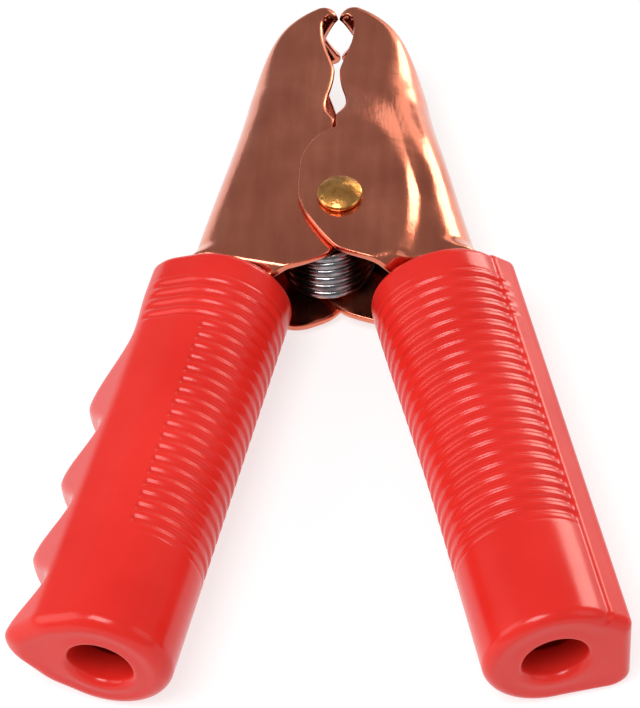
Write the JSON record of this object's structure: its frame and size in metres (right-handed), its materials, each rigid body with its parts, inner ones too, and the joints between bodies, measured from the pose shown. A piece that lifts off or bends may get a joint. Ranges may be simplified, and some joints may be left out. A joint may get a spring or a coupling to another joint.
{
  "type": "booster cable clamp",
  "caption": "Spring-loaded battery clamp with copper-coloured channel jaws on a rivet and red insulating sleeves, one with finger grips, each open for a cable.",
  "frame": {"origin": "centre of the bounding box, at the height of the lowest point: the clamp lies flat on its two sleeves", "axes": "+Y from the sleeves to the noses, +Z along the rivet towards its round front head, +X to the sleeve with the plain ridge"},
  "size_m": [0.1292, 0.1851, 0.0309],
  "materials": {
    "copper": "copper-plated, glossy with fine scratches",
    "brass": "satin",
    "steel": "bright plated wire",
    "vinyl": "soft glossy vinyl"
  },
  "bodies": {
    "left_half": {"jaw_left": "copper", "barrel_left": "copper", "sleeve_left": "vinyl", "rivet": "brass", "spring": "steel"},
    "right_half": {"jaw_right": "copper", "barrel_right": "copper", "sleeve_right": "vinyl"}
  },
  "joints": [
    {"name": "jaw_pivot", "type": "hinge", "parent": "left_half", "child": "right_half", "pos_m": [0.0038, 0.02665, 0.0151], "axis": [0, 0, -1], "range_deg": [0, 28], "stiffness_Nm_per_rad": 1, "springref_deg": -28.65, "deforming": ["spring"]}
  ]
}
